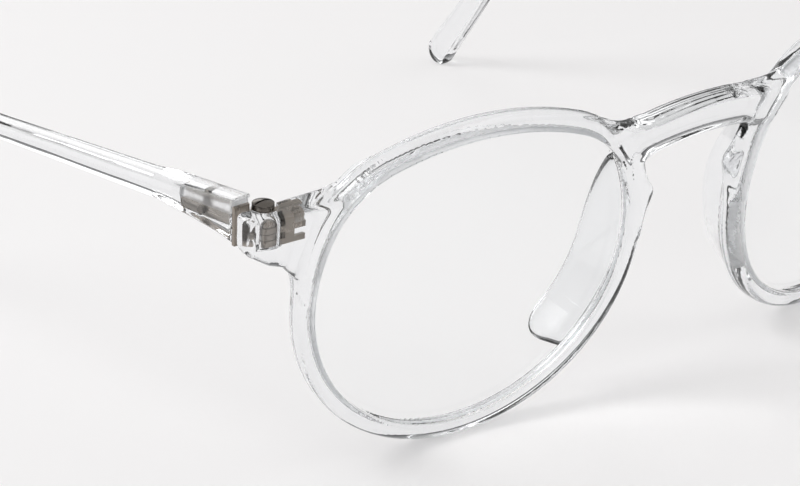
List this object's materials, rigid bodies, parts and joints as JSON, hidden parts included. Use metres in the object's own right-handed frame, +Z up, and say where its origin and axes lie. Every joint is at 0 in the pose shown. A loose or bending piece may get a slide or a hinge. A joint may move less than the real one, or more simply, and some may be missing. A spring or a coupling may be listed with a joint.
{
  "type": "eyeglasses",
  "caption": "Clear acetate eyeglasses with round panto rims, keyhole bridge, set-in nose pads, metal hinges and folding temples, standing open.",
  "frame": {"origin": "centre of the bounding box at its base, on the surface that the open spectacles stand on", "axes": "+X to the wearer's left, +Y from the front back along the temples, +Z up"},
  "size_m": [0.1414, 0.1406, 0.0465],
  "materials": {
    "acetate": "polished crystal-clear acetate",
    "lens": "clear plastic demonstration lens",
    "metal": "satin nickel silver"
  },
  "bodies": {
    "front_frame": {"front": "acetate", "lens_right": "lens", "lens_left": "lens", "nose_pad_right": "acetate", "nose_pad_left": "acetate", "front_hinge_right": "metal", "front_hinge_left": "metal", "hinge_screws": "metal"},
    "right_temple": {"temple_right": "acetate", "temple_hinge_right": "metal", "end_plate_right": "metal", "temple_rivet_right": "metal"},
    "left_temple": {"temple_left": "acetate", "temple_hinge_left": "metal", "end_plate_left": "metal", "temple_rivet_left": "metal"}
  },
  "joints": [
    {"name": "right_temple_fold", "type": "hinge", "parent": "front_frame", "child": "right_temple", "pos_m": [-0.06422, -0.05847, 0.03784], "axis": [0, 0.1219, -0.9925], "range_deg": [0, 86]},
    {"name": "left_temple_fold", "type": "hinge", "parent": "front_frame", "child": "left_temple", "pos_m": [0.06422, -0.05847, 0.03784], "axis": [0, -0.1219, 0.9925], "range_deg": [0, 80]}
  ]
}
